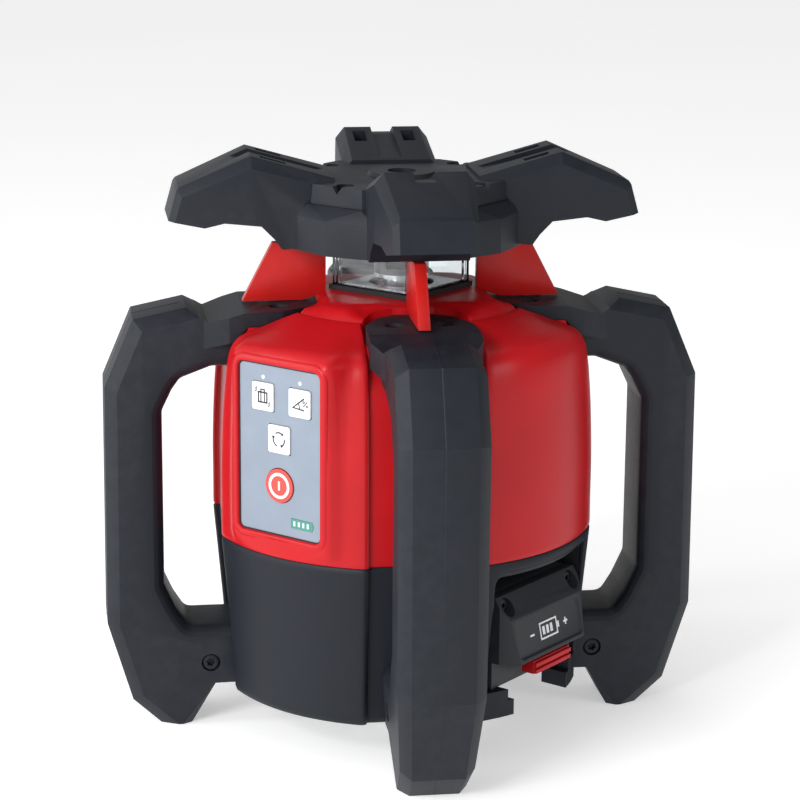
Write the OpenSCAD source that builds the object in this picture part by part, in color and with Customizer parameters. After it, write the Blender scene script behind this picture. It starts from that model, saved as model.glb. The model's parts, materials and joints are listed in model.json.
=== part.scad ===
// Rotating construction laser: a four-handled housing with a self-levelling laser
// module, a spinning prism head under a winged cap, and a slide-in battery pack.
// Z is up, the feet stand on z = 0, and the prism spins about the Z axis.
// The handles point along +X, +Y, -X and -Y.

/* [Housing] */
// Outer radius of the two shells at their split line
body_r = 82; // [81.5:0.5:83]
// Height of the split line
split_z = 86.6; // [86:0.2:87.4]
// Height of the underside of the base
base_z = 18; // [17.6:0.2:18.4]
// Wall thickness of the moulded shells
wall = 3; // [2.8:0.1:3.2]
// Depth of the upright groove behind each handle
groove_depth = 5; // [4.6:0.2:5.4]

/* [Handles] */
// Width of a handle across its grip
handle_w = 36; // [34:1:37]
// Chamfer along the outer edges of a handle
handle_chamfer = 5; // [4:0.5:6]

/* [Head] */
// Thickness of a cage fin
fin_t = 4.8; // [4:0.2:5.4]
// Width of a cap wing beside the hub
wing_root_w = 37; // [35:1:38]
// Width of a cap wing at its tip
wing_tip_w = 31; // [29:1:33]
// Width of the channel along the top of a wing
channel_w = 9.6; // [8:0.4:11]

/* [Drive] */
// Height of the gimbal's two tilt axes
pivot_z = 158; // [157.8:0.1:158.2]
// Radius of the pulley on the spindle
spindle_pulley_r = 13; // [12.5:0.5:13]
// Radius of the pulley on the motor shaft
motor_pulley_r = 5; // [4.5:0.5:5]

/* [Battery] */
// Width of the battery pack
pack_w = 58; // [57:0.5:58.5]

/* [Tripod] */
// Radius of the tapped hole for a 5/8 inch tripod screw
tripod_hole_r = 7.94; // [7.9:0.02:8]

/* [Hidden] */

$fn = 96;
round_fn = 160;                 // facets of the large turned surfaces
gap = 0.2;                      // clearance between seated pieces
over = 1;                       // overshoot of a cut past a face

charcoal = [0.2, 0.21, 0.24];
black = [0.1, 0.1, 0.11];
red = [0.78, 0.12, 0.14];
steel = [0.7, 0.71, 0.72];
brass = [0.8, 0.66, 0.32];
glass = [0.75, 0.88, 0.86, 0.5];
board_green = [0.1, 0.35, 0.2];

groove_x = body_r - groove_depth;   // outer face of the shell in a groove
groove_half = 22.7;                 // half width of a groove
flange_in = 70;                     // inner radius of the two sealing flanges
flange_t = 3;                       // thickness of a sealing flange
seal_h = 3;                         // height of the seal between the flanges
base_flange_z = split_z - 1.6;      // top of the base's sealing flange
upper_flange_z = base_flange_z + seal_h;
boss_r = 66;                        // radius at which the housing screws stand
boss_turn = 8;                      // angle of each housing screw past a handle
leg_r = 60;                         // radius at which the frame legs stand
keypad_turn = -135;                 // direction that the keypad faces
battery_turn = -45;                 // direction that the battery slides out

// Outer profiles of the shells, as radius and height
base_outer = [
    [0, base_z], [75.5, base_z], [77, base_z + 3], [78.6, 54], [81, 67],
    [body_r, split_z], [0, split_z]
];
dome_z = 185.5;
upper_outer = [
    [0, split_z], [body_r, split_z], [body_r, 116], [80.5, 150], [79.5, 166],
    [77, 171.5], [72, 174], [51, 180], [46, 184], [38, dome_z], [0, dome_z]
];
upper_inner = [
    [0, split_z - over], [body_r - wall, split_z - over], [body_r - wall, 116],
    [80.5 - wall, 150], [79.5 - wall, 165], [74.5, 169.5], [71, 171],
    [50, 177], [44, 181], [36, 182.5], [0, 182.5]
];

// Handle: outline of the grip loop, the hand opening and the top bracket
handle_half = handle_w / 2;
handle_upper = [
    [66, 45], [125.8, 46], [125, 148.4], [112.9, 177], [91.1, 181.6], [66, 181.6]
];
handle_foot = [[66, 44], [125.7, 45], [115.4, 11.1], [103.5, 0], [90.5, 0], [80.6, 18.6], [66, 18.6]];
foot_half = 14;
foot_chamfer = 3.5;
hand_opening = [
    [60, 156.6], [81, 156.6], [93.9, 151.7], [96.5, 147.5], [101.5, 138], [101.5, 63],
    [96.7, 52.4], [91.6, 44.5], [60, 44.5]
];
saddle_cut = [[91.1, 182], [91.1, 181.6], [82.5, 176.2], [67.4, 180.5], [60, 181], [60, 190], [91.1, 190]];
bracket_profile = [
    [36, 175], [66, 175], [77.2, 164], [77.2, 156.6], [84, 156.6], [86, 178.5],
    [82.5, 176.2], [67.4, 180.5], [36, 181.4]
];
bracket_seat = [[30, 174.8], [65.8, 174.8], [80, 160.6], [95, 160.6], [95, 200], [30, 200]];
bracket_screw_at = [53, 10.4];
lug_x = groove_x + 10;
lug_half = 8;
lug_low = 21;
lug_high = 40;
side_screw_at = [82.5, 28];

// Head cage, cap and lantern
fin_outline = [
    [66.9, 181], [54.2, 205.8], [46, 205.8], [46, 210], [31.5, 210], [31.5, dome_z + gap],
    [36.4, dome_z + gap], [36.4, 181.8]
];
cage_ring_z = 207;
cage_ring_h = 3;
cage_ring_r = 46;
cap_low = 206;
skirt_r = 50.6;
skirt_top = 220.5;
shelf_top = 227.3;
hub_top = 233.6;
hub_d = 44;
wing_outline_root = [[34.9, 208], [51, 206], [64.2, 215], [64.2, 244.3], [34.9, 237]];
wing_outline_tip = [[64.2, 211], [97.9, 217.9], [93.6, 231.4], [64.2, 244.3]];
wing_under = [[51, 205], [55, 210.5], [60.3, 215.8], [75.1, 217.1], [83.2, 215.1], [97.9, 217.9], [99, 205]];
wing_pocket = [[62, 205], [62, 236.8], [64.2, 238.8], [89.2, 227.8], [92, 205]];
channel_floor = [[20, 234.4], [34.9, 235.2], [64.2, 242.5], [95, 229], [95, 250], [20, 250]];
lantern_half = 20;
pane_t = 2;
pane_z = dome_z + 2;
pane_h = 24.5;
lantern_top_z = pane_z + pane_h;

// Keypad, in a frame whose X axis points out of the panel
panel_d = 80.2;
panel_t = 1.4;
panel_w = 42;
panel_low = 95.9;
panel_h = 70;
rim_d = 81.6;
key_travel = 0.5;
square_key = [11, 11.5];
key_centres = [[-8.3, 152.6], [10.6, 152.4], [0, 136], [0, 116.8]];
power_key_r = 7;

// Battery, in a frame whose X axis points the way the pack slides out
bay_low = 26.4;
bay_high = 81.4;
bay_half = 32.9;
bay_back = 4.1;
bay_wall = 1.9;
bay_floor_end = 58;
pack_low = 30.5;
pack_high = 70;
pack_back = 7;
cover_d = 66;
cell_r = 9.1;
cell_length = 65;
cell_z = 50;
cell_rows = [-18.7, 0, 18.7];
contact_rows = [-12, 0, 12];
cover_screw_at = [23.5, 65.5];

tube_r = 14;
bore_r = 11;
pin_r = 2;
motor_x = 23.6;

// Half of a bracket's plan outline, grown by g for the seat that it sits in
function bracket_side(g) = [
    [36 - g, 8 + g], [41 - g, 17 + g], [52 - g, 22.5 + g], [74, 22.5 + g],
    [84, handle_half + g], [92, handle_half + g]
];

// Copies its children onto the four handle directions
module on_four_sides(start = 0) {
    for (i = [0:3]) rotate([0, 0, start + 90 * i]) children();
}

// Stands a (radius, height) outline up in the XZ plane, w thick about it
module upright(w) {
    rotate([90, 0, 0]) linear_extrude(w, center = true) children();
}

module ring(outer, inner, h) {
    difference() {
        cylinder(r = outer, h = h);
        translate([0, 0, -over]) cylinder(r = inner, h = h + 2 * over);
    }
}

module rod_x(r, x0, x1, y = 0, z = 0) {
    translate([x0, y, z]) rotate([0, 90, 0]) cylinder(r = r, h = x1 - x0);
}

module rod_y(r, y0, y1, x = 0, z = 0) {
    translate([x, y0, z]) rotate([-90, 0, 0]) cylinder(r = r, h = y1 - y0);
}

// Rounded rectangle plate facing +X, centred on (y, z)
module plate_x(x0, x1, w, h, r, y = 0, z = 0) {
    translate([x0, y, z]) rotate([90, 0, 90]) linear_extrude(x1 - x0) {
        square([w - 2 * r, h], center = true);
        square([w, h - 2 * r], center = true);
        for (i = [-1, 1]) for (j = [-1, 1])
            translate([i * (w / 2 - r), j * (h / 2 - r)]) circle(r = r, $fn = 32);
    }
}

// Upright grooves behind the handles, cut dx deeper and dw wider
module grooves(z0, z1, dx = 0, dw = 0) {
    on_four_sides() translate([groove_x - dx, -groove_half - dw, z0])
        cube([20, 2 * (groove_half + dw), z1 - z0]);
}

module housing_screw_places() {
    on_four_sides(boss_turn) translate([boss_r, 0, 0]) children();
}

// ---------- Housing ----------

module base_shell() {
    color(charcoal) difference() {
        union() {
            difference() {
                rotate_extrude($fn = round_fn) polygon(base_outer);
                grooves(base_z - over, split_z + over);
                base_hollow();
            }
            sealing_flange(base_flange_z - flange_t);
            housing_screw_places() translate([0, 0, base_z + wall - over])
                cylinder(r = 3.8, h = base_flange_z - base_z - wall + over);
            on_four_sides() translate([groove_x - 2, -lug_half, lug_low])
                cube([lug_x - groove_x + 2, 2 * lug_half, lug_high - lug_low]);
        }
        battery_opening();
        tripod_opening();
        housing_screw_places() {
            translate([0, 0, base_z - over]) cylinder(r = 1.6, h = split_z);
            translate([0, 0, base_z - over]) cylinder(r = 3.2, h = 5 + over);
        }
        on_four_sides() rod_y(2, -lug_half - over, lug_half + over, side_screw_at[0], side_screw_at[1]);
        on_four_sides() translate([leg_r, 0, base_z - over]) cylinder(r = 1.6, h = wall + 2 * over);
    }
}

module base_hollow() {
    difference() {
        rotate_extrude($fn = round_fn) polygon([
            [0, base_z + wall], [73.6, base_z + wall], [78.6 - wall, 54], [81 - wall, 67],
            [body_r - wall, split_z], [body_r - wall, split_z + over], [0, split_z + over]
        ]);
        grooves(base_z, split_z + 2 * over, wall, wall);
    }
}

// Ledge that carries the seal, with its underside at height z
module sealing_flange(z) {
    difference() {
        translate([0, 0, z]) ring(body_r - wall + 0.5, flange_in, flange_t);
        grooves(z - over, z + flange_t + over, 1);
    }
}

module battery_opening() {
    mid_z = (bay_low + bay_high) / 2;
    rotate([0, 0, battery_turn]) {
        plate_x(40, 95, 2 * bay_half + 0.2, bay_high - bay_low + 0.2, 4, 0, mid_z);
        translate([50, -bay_half + 4, base_z - over]) cube([50, 2 * bay_half - 8, bay_low - base_z + 4]);
    }
}

module tripod_opening() {
    translate([0, 0, base_z - over]) cylinder(r = 15.2, h = wall + 2 * over);
    on_four_sides(45) translate([34, 0, base_z - over]) cylinder(r = 1.6, h = wall + 2 * over);
}

module upper_shell() {
    color(red) difference() {
        union() {
            difference() {
                rotate_extrude($fn = round_fn) polygon(upper_outer);
                grooves(split_z - over, 182);
                upper_hollow();
            }
            sealing_flange(upper_flange_z);
            housing_screw_places() translate([0, 0, upper_flange_z + 1]) cylinder(r = 5.6, h = 15);
            keypad_boss();
        }
        rotate([0, 0, keypad_turn]) keypad_pocket();
        on_four_sides() bracket_recess();
        translate([0, 0, 170]) cylinder(r = 20, h = 20);
        housing_screw_places() translate([0, 0, split_z]) cylinder(r = 1.4, h = 14);
        on_four_sides() for (side = [-1, 1])
            translate([bracket_screw_at[0], side * bracket_screw_at[1], 166]) cylinder(r = 1.4, h = 12);
    }
}

module upper_hollow() {
    difference() {
        rotate_extrude($fn = round_fn) polygon(upper_inner);
        grooves(split_z - 2, 190, wall, wall);
        on_four_sides() translate([33.4, -25.5, 170]) cube([60, 51, 20]);
    }
}

module bracket_recess() {
    intersection() {
        upright(60) polygon(bracket_seat);
        bracket_block(gap);
    }
}

// The bracket's plan outline, extruded past its top and bottom
module bracket_block(g) {
    side = bracket_side(g);
    translate([0, 0, 140]) linear_extrude(60)
        polygon([each side, for (i = [len(side) - 1:-1:0]) [side[i][0], -side[i][1]]]);
}

module keypad_boss() {
    rotate([0, 0, keypad_turn])
        plate_x(74, rim_d, panel_w + 5, panel_h + 4.6, 5, 0, panel_low + panel_h / 2);
}

module keypad_pocket() {
    mid_z = panel_low + panel_h / 2;
    plate_x(panel_d - panel_t - 0.1, 95, panel_w + 0.6, panel_h + 0.6, 2.3, 0, mid_z);
    plate_x(60, 95, 36, 64, 2, 0, mid_z);
    plate_x(rim_d, 95, panel_w + 5, panel_h + 4.6, 5, 0, mid_z);
}

module housing_seal() {
    color(black) translate([0, 0, base_flange_z]) ring(73, flange_in, seal_h);
}

module housing_screws() {
    color(steel) housing_screw_places() {
        translate([0, 0, base_z + 2]) cylinder(r = 3, h = 3);
        translate([0, 0, base_z + 4]) cylinder(r = 1.4, h = 76);
    }
}

// ---------- Handles ----------

module handle() {
    color(charcoal) difference() {
        union() {
            intersection() {
                grip_loop();
                translate([groove_x + gap, -50, -over]) cube([100, 100, 200]);
            }
            intersection() {
                upright(60) polygon(bracket_profile);
                bracket_block(0);
            }
        }
        translate([groove_x - over, -lug_half - 0.1, lug_low - 0.1])
            cube([lug_x - groove_x + over + 0.2, 2 * lug_half + 0.2, lug_high - lug_low + 0.2]);
        for (side = [-1, 1]) {
            translate([bracket_screw_at[0], side * bracket_screw_at[1], 170]) cylinder(r = 1.8, h = 20);
            translate([bracket_screw_at[0], side * bracket_screw_at[1], 178]) cylinder(r = 3.7, h = 20);
            rod_y(2.2, side > 0 ? 0 : -30, side > 0 ? 30 : 0, side_screw_at[0], side_screw_at[1]);
            rod_y(4, side > 0 ? 13 : -30, side > 0 ? 30 : -13, side_screw_at[0], side_screw_at[1]);
        }
    }
}

module grip_loop() {
    difference() {
        hull() {
            upright(handle_w - 2 * handle_chamfer) polygon(handle_upper);
            upright(handle_w) offset(delta = -handle_chamfer) polygon(handle_upper);
            upright(2 * (foot_half - foot_chamfer)) polygon(handle_foot);
            upright(2 * foot_half) offset(delta = -foot_chamfer) polygon(handle_foot);
        }
        upright(60) polygon(hand_opening);
        upright(60) polygon(saddle_cut);
    }
}

module handle_front() { rotate([0, 0, -90]) handle(); }
module handle_right() { handle(); }
module handle_back() { rotate([0, 0, 90]) handle(); }
module handle_left() { rotate([0, 0, 180]) handle(); }

module handle_top_screws() {
    color(steel) on_four_sides() for (side = [-1, 1])
        translate([bracket_screw_at[0], side * bracket_screw_at[1], 0]) {
            translate([0, 0, 178]) cylinder(r = 3.3, h = 2);
            translate([0, 0, 167]) cylinder(r = 1.4, h = 12);
        }
}

module handle_side_screws() {
    color(steel) on_four_sides() for (side = [0, 180])
        translate([side_screw_at[0], 0, side_screw_at[1]]) rotate([0, 0, side]) {
            rod_y(3.7, 13, 17);
            rod_y(2, 3, 13.5);
        }
}

// ---------- Head ----------

module head_cage() {
    color(red) difference() {
        union() {
            on_four_sides() upright(fin_t) polygon(fin_outline);
            translate([0, 0, cage_ring_z]) ring(cage_ring_r, 33, cage_ring_h);
            translate([0, 0, dome_z + gap]) ring(35.6, 31.5, 2);
        }
        cap_screw_places() translate([0, 0, cage_ring_z - over]) cylinder(r = 1.4, h = 10);
    }
}

module cap_screw_places() {
    on_four_sides(45) translate([38, 0, 0]) children();
}

module head_cap() {
    color(charcoal) difference() {
        union() {
            skirt();
            on_four_sides() wing();
            translate([0, 0, hub_top - over]) cylinder(r = 14, h = 4);
        }
        on_four_sides() {
            upright(channel_w) polygon(channel_floor);
            upright(24) polygon(wing_pocket);
            upright(80) polygon(wing_under);
            for (side = [-1, 1]) ridge_slot(side);
        }
        on_four_sides(45) sight_notch();
        translate([0, 0, cap_low - over]) cylinder(r = cage_ring_r + gap, h = 4 + over);
        rotate([0, 0, 45]) translate([-22.5, -22.5, cap_low]) cube([45, 45, 11]);
        translate([0, 0, cap_low]) cylinder(r = 6, h = 50);
        cap_screw_places() {
            translate([0, 0, cap_low]) cylinder(r = 1.8, h = 50);
            translate([0, 0, 216]) cylinder(r = 3.7, h = 50);
        }
    }
}

// Twelve-sided skirt, its shelf and the hub between the wings
module skirt() {
    translate([0, 0, cap_low]) linear_extrude(skirt_top - cap_low) skirt_plan(skirt_r);
    hull() {
        translate([0, 0, skirt_top - 0.01]) linear_extrude(0.01) skirt_plan(skirt_r);
        translate([0, 0, shelf_top]) linear_extrude(hub_top - shelf_top) hub_plan();
    }
}

module skirt_plan(r) {
    polygon([for (q = [0:3]) for (a = [20.8, 45, 69.2]) [r * cos(90 * q + a), r * sin(90 * q + a)]]);
}

module hub_plan() {
    side = 11.8;
    polygon([for (q = [0:3]) for (s = [-1, 1])
        [hub_d * cos(90 * q + 45) - s * side * sin(90 * q + 45),
         hub_d * sin(90 * q + 45) + s * side * cos(90 * q + 45)]]);
}

module wing() {
    edge = 4;
    hull() {
        upright(wing_root_w - 2 * edge) polygon(wing_outline_root);
        upright(wing_root_w) offset(delta = -edge) polygon(wing_outline_root);
        upright(wing_tip_w - 2 * edge) polygon(wing_outline_tip);
        upright(wing_tip_w) offset(delta = -edge) polygon(wing_outline_tip);
    }
}

// Slot near the peak of a wing's ridge
module ridge_slot(side) {
    translate([49, side * 9.7 - 2.75, 238.5]) cube([11, 5.5, 10]);
}

module sight_notch() {
    translate([hub_d, 0, hub_top]) rotate([0, 90, 0])
        cylinder(r = 3, h = 12, center = true, $fn = 4);
}

module cap_screws() {
    color(steel) cap_screw_places() {
        translate([0, 0, 216]) cylinder(r = 3.3, h = 2.4);
        translate([0, 0, cage_ring_z]) cylinder(r = 1.4, h = 9.5);
    }
}

module lantern_square(half, z0, h) {
    rotate([0, 0, 45]) translate([-half, -half, z0]) cube([2 * half, 2 * half, h]);
}

module lantern_gasket() {
    color(black) difference() {
        lantern_square(21.5, dome_z, pane_z - dome_z);
        translate([0, 0, dome_z - over]) cylinder(r = 14, h = 5);
    }
}

module deck_plate() {
    color(steel) difference() {
        lantern_square(lantern_half - pane_t - 0.5, pane_z, 0.8);
        translate([0, 0, pane_z - over]) cylinder(r = 13, h = 5);
    }
}

module lantern_panes() {
    color(glass) on_four_sides(45)
        translate([lantern_half - pane_t, -17.5, pane_z]) cube([pane_t, 35, pane_h]);
}

module lantern_posts() {
    color(glass) on_four_sides(45) translate([17.6, 17.6, pane_z]) cube([2.8, 2.8, pane_h]);
}

module lantern_top() {
    color(black) difference() {
        lantern_square(21.5, lantern_top_z, 2.5);
        translate([0, 0, lantern_top_z - over]) cylinder(r = 8, h = 6);
    }
}

module plumb_window() {
    color(glass) translate([0, 0, lantern_top_z + 2.5]) cylinder(r = 9.5, h = 1.5);
}

// ---------- Keypad ----------

module at_key(index) {
    translate([0, key_centres[index][0], key_centres[index][1]]) children();
}

module key_shape(grow, x0, x1, round_key = false) {
    if (round_key) rod_x(power_key_r + grow, x0, x1);
    else plate_x(x0, x1, square_key[0] + 2 * grow, square_key[1] + 2 * grow, 1);
}

module keypad_panel() {
    mid_z = panel_low + panel_h / 2;
    color([0.62, 0.68, 0.75]) rotate([0, 0, keypad_turn]) difference() {
        plate_x(panel_d - panel_t, panel_d, panel_w, panel_h, 2, 0, mid_z);
        for (i = [0:3]) at_key(i) key_shape(0.3, panel_d - 5, panel_d + 5, i == 3);
        for (y = [-8.3, 10.6]) rod_x(0.9, panel_d - 5, panel_d + 5, y, 160.6);
        plate_x(panel_d - 0.8, panel_d + 5, 11.2, 4.2, 0.4, 11.2, 102.2);
    }
}

module led_windows() {
    color("white") rotate([0, 0, keypad_turn])
        for (y = [-8.3, 10.6]) rod_x(0.85, panel_d - panel_t, panel_d + 0.2, y, 160.6);
}

module gauge_window() {
    color([0.25, 0.65, 0.5]) rotate([0, 0, keypad_turn])
        plate_x(panel_d - 0.8, panel_d + 0.1, 11, 4, 0.4, 11.2, 102.2);
}

module keypad_board() {
    color(board_green) rotate([0, 0, keypad_turn])
        plate_x(73.8, 75.3, 36, 64, 2, 0, panel_low + panel_h / 2);
}

module key(index) {
    color("white") rotate([0, 0, keypad_turn]) at_key(index)
        key_shape(0, panel_d - 4, panel_d + 0.6, index == 3);
}

module key_shock() { key(0); }
module key_slope() { key(1); }
module key_rotate() { key(2); }
module key_power() { key(3); }

// ---------- Tripod mount ----------

module tripod_plate() {
    color(steel) difference() {
        union() {
            translate([0, 0, 11]) cylinder(r = 42, h = base_z - 11);
            translate([0, 0, base_z - over]) cylinder(r = 15, h = 26 - base_z + over);
        }
        cylinder(r = 12, h = 40);
        on_four_sides(45) translate([34, 0, 0]) {
            cylinder(r = 1.6, h = 40);
            cylinder(r = 3.4, h = 14);
        }
    }
}

module tripod_insert() {
    color(brass) translate([0, 0, 11]) ring(12, tripod_hole_r, 15);
}

module tripod_plate_screws() {
    color(steel) on_four_sides(45) translate([34, 0, 11.5]) {
        cylinder(r = 3.1, h = 2.5);
        cylinder(r = 1.5, h = 11);
    }
}

// ---------- Battery bay ----------

module battery_bay() {
    mid_z = (bay_low + bay_high) / 2;
    color(black) rotate([0, 0, battery_turn]) difference() {
        intersection() {
            plate_x(bay_back, 90, 2 * bay_half, bay_high - bay_low, 3.9, 0, mid_z);
            rotate_extrude($fn = round_fn) offset(delta = -0.4) polygon(base_outer);
        }
        plate_x(bay_back + bay_wall, 90, 2 * (bay_half - bay_wall), bay_high - bay_low - 2 * bay_wall, 3, 0, mid_z);
        for (y = contact_rows) translate([0, y - 0.6, 62.5]) cube([10, 1.2, 3]);
        translate([bay_floor_end, 4 - bay_half, bay_low - over])
            cube([40, 2 * bay_half - 8, bay_wall + 2 * over]);
    }
}

module contact_block() {
    color("ivory") rotate([0, 0, battery_turn]) difference() {
        translate([bay_back + bay_wall, -16, 60]) cube([0.8, 32, 8]);
        for (y = contact_rows) translate([0, y - 0.6, 62.5]) cube([10, 1.2, 3]);
    }
}

module contact_blades() {
    color(brass) rotate([0, 0, battery_turn])
        for (y = contact_rows) translate([bay_back, y - 0.6, 62.5]) cube([12, 1.2, 3]);
}

// ---------- Gimbal ----------

module gimbal_frame() {
    color(steel) difference() {
        union() {
            translate([0, 0, 138]) ring(68, 46, 6);
            on_four_sides() translate([leg_r, 0, base_z + wall]) cylinder(r = 4, h = 120);
            for (side = [0, 180]) rotate([0, 0, side])
                translate([46.6, -7, 140]) cube([9, 14, pivot_z - 140 + 7]);
        }
        rod_x(pin_r + 0.05, -60, 60, 0, pivot_z);
        on_four_sides() translate([leg_r, 0, base_z]) cylinder(r = 1.4, h = 16);
    }
}

module frame_screws() {
    color(steel) on_four_sides() translate([leg_r, 0, base_z - 2.2]) {
        cylinder(r = 3, h = 2.2);
        cylinder(r = 1.4, h = 15);
    }
}

module levelling_motors() {
    color(steel) for (turn = [60, 150]) rotate([0, 0, turn]) translate([57, 0, 144]) {
        cylinder(r = 7, h = 12);
        translate([0, 0, 12]) cylinder(r = 1.5, h = 6);
    }
}

module main_board() {
    color(board_green) translate([0, 0, 128]) difference() {
        ring(55, 32, 1.6);
        on_four_sides(20) translate([50, 0, -over]) cylinder(r = 1.6, h = 4);
    }
}

module board_spacers() {
    color(brass) on_four_sides(20) translate([50, 0, 0]) {
        translate([0, 0, 129.6]) cylinder(r = 3, h = 8.4);
        translate([0, 0, 126]) cylinder(r = 1.5, h = 4);
    }
}

module gimbal_ring() {
    color(steel) difference() {
        translate([0, 0, pivot_z - 5]) ring(44, 38, 10);
        rod_x(pin_r, -60, 60, 0, pivot_z);
        rod_y(pin_r, -60, 60, 0, pivot_z);
    }
}

module outer_pins() {
    color(brass) for (side = [0, 180]) rotate([0, 0, side]) rod_x(pin_r, 38, 55, 0, pivot_z);
}

module inner_pins() {
    color(brass) for (side = [0, 180]) rotate([0, 0, side]) rod_y(pin_r, 17, 43.5, 0, pivot_z);
}

// ---------- Laser module ----------

module laser_tube() {
    color([0.35, 0.36, 0.38]) difference() {
        union() {
            translate([0, 0, 92]) cylinder(r = tube_r, h = 74);
            translate([0, 0, pivot_z - 4]) cylinder(r = 16, h = 8);
            translate([-6, -30, pivot_z - 4]) cube([12, 60, 8]);
            translate([-8, -11, 136]) cube([motor_x + 8 + 8, 22, 4]);
        }
        translate([0, 0, 91]) cylinder(r = bore_r, h = 80);
        rod_y(pin_r + 0.05, -60, 60, 0, pivot_z);
    }
}

module laser_diode() {
    color(brass) {
        translate([0, 0, 94]) cylinder(r = bore_r, h = 12);
        translate([0, 0, 106]) cylinder(r = 4.7, h = 6);
    }
}

module collimator_lens() {
    color(glass) translate([0, 0, 130]) cylinder(r = bore_r, h = 4);
}

module level_vials() {
    color([0.7, 0.85, 0.5]) {
        rod_x(3, -24, -16, 0, 145);
        rod_y(3, -8, 8, -20, 152);
    }
}

module spindle_bearings() {
    color(steel) {
        translate([0, 0, 146]) ring(bore_r, 7, 4);
        translate([0, 0, 162]) ring(bore_r, 7, 4);
    }
}

module spin_motor() {
    color([0.25, 0.26, 0.28]) translate([motor_x, 0, 140]) difference() {
        cylinder(r = 7, h = 28);
        translate([0, 0, 20]) cylinder(r = 1.05, h = 10);
    }
}

// Closed flat belt around the two pulleys
module drive_belt() {
    color(black) translate([0, 0, 171]) linear_extrude(3) difference() {
        belt_path(1);
        belt_path(0.05);
    }
}

module belt_path(grow) {
    hull() {
        circle(r = spindle_pulley_r + grow, $fn = 48);
        translate([motor_x, 0]) circle(r = motor_pulley_r + grow, $fn = 48);
    }
}

// ---------- Rotor ----------

module rotor_spindle() {
    color(steel) difference() {
        union() {
            translate([0, 0, 145]) cylinder(r = 6.95, h = 47);
            translate([0, 0, 170]) cylinder(r = spindle_pulley_r, h = 5);
            translate([0, 0, 191]) cylinder(r = 10.8, h = 1.5);
        }
        translate([0, 0, 140]) cylinder(r = 5, h = 60);
    }
}

module encoder_disc() {
    color(glass) translate([0, 0, 176]) ring(17, 7, 0.8);
}

module prism_holder() {
    color([0.3, 0.31, 0.33]) translate([0, 0, 192.5]) difference() {
        cylinder(r = 10.8, h = 16.5);
        translate([0, 0, 1.5]) cylinder(r = 8.6, h = 13.5);
        translate([0, 0, -over]) cylinder(r = 5, h = 20);
        rotate([0, 0, -100]) translate([0, -5.5, 2.5]) cube([20, 11, 11]);
    }
}

module prism() {
    color(glass) rotate([0, 0, -100]) upright(9) polygon([
        [-5.5, 194.2], [5.5, 194.2], [6.6, 203], [1, 206.6], [-6.6, 203]
    ]);
}

module motor_pulley() {
    color(brass) translate([motor_x, 0, 0]) {
        translate([0, 0, 162]) cylinder(r = 1, h = 13);
        translate([0, 0, 170]) cylinder(r = motor_pulley_r, h = 5);
    }
}

// ---------- Battery ----------

module pack_slice(profile, half) {
    rotate([0, 0, battery_turn]) upright(2 * half) polygon(profile);
}

module battery_case() {
    color(charcoal) difference() {
        pack_slice([[pack_back, pack_low], [cover_d, pack_low], [cover_d, pack_high], [pack_back, pack_high]],
            pack_w / 2);
        pack_slice([[pack_back + 2, 33], [cover_d + over, 33], [cover_d + over, 67], [pack_back + 2, 67]],
            pack_w / 2 - 1.2);
        rotate([0, 0, battery_turn]) for (y = contact_rows)
            translate([0, y - 1.2, 61.5]) cube([20, 2.4, 5]);
    }
}

module battery_cover() {
    face = [
        [cover_d, pack_low], [69.5, pack_low], [69.5, 42], [80.6, 42], [76.6, 60.5],
        [70.5, pack_high], [cover_d, pack_high]
    ];
    plan = [
        [60, -pack_w / 2], [73, -pack_w / 2], [82, -pack_w / 2 + 7], [82, pack_w / 2 - 7],
        [73, pack_w / 2], [60, pack_w / 2]
    ];
    color(charcoal) rotate([0, 0, battery_turn]) difference() {
        intersection() {
            upright(70) polygon(face);
            linear_extrude(100) polygon(plan);
        }
        for (y = cell_rows) rod_x(cell_r + 0.1, 60, pack_back + 2.2 + cell_length + gap, y, cell_z);
        for (side = [-1, 1]) {
            rod_x(3.6, 69, 90, side * cover_screw_at[0], cover_screw_at[1]);
            rod_x(1.5, 60, 90, side * cover_screw_at[0], cover_screw_at[1]);
        }
    }
}

module battery_screws() {
    color(steel) rotate([0, 0, battery_turn]) for (side = [-1, 1]) {
        rod_x(3.2, 69, 71, side * cover_screw_at[0], cover_screw_at[1]);
        rod_x(1.4, 60, 69.5, side * cover_screw_at[0], cover_screw_at[1]);
    }
}

module battery_cells() {
    color([0.3, 0.5, 0.35]) rotate([0, 0, battery_turn])
        for (y = cell_rows) rod_x(cell_r, pack_back + 2.2, pack_back + 2.2 + cell_length, y, cell_z);
}

module battery_contacts() {
    color(brass) rotate([0, 0, battery_turn]) for (y = contact_rows)
        translate([18, y - 2, 60.5]) cube([5, 4, 6]);
}

module battery_latch() {
    color(red) rotate([0, 0, battery_turn]) difference() {
        translate([72.5, -15, 33.2]) cube([7.3, 30, 6.8]);
        translate([78.4, -16, 36.1]) cube([3, 32, 1.2]);
    }
}

base_shell();
upper_shell();
housing_seal();
housing_screws();
handle_front();
handle_right();
handle_back();
handle_left();
handle_top_screws();
handle_side_screws();
head_cage();
head_cap();
cap_screws();
lantern_gasket();
deck_plate();
lantern_panes();
lantern_posts();
lantern_top();
plumb_window();
keypad_panel();
led_windows();
gauge_window();
keypad_board();
key_shock();
key_slope();
key_rotate();
key_power();
tripod_plate();
tripod_insert();
tripod_plate_screws();
battery_bay();
contact_block();
contact_blades();
gimbal_frame();
frame_screws();
levelling_motors();
main_board();
board_spacers();
gimbal_ring();
outer_pins();
inner_pins();
laser_tube();
laser_diode();
collimator_lens();
level_vials();
spindle_bearings();
spin_motor();
drive_belt();
rotor_spindle();
encoder_disc();
prism_holder();
prism();
motor_pulley();
battery_case();
battery_cover();
battery_screws();
battery_cells();
battery_contacts();
battery_latch();
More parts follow.
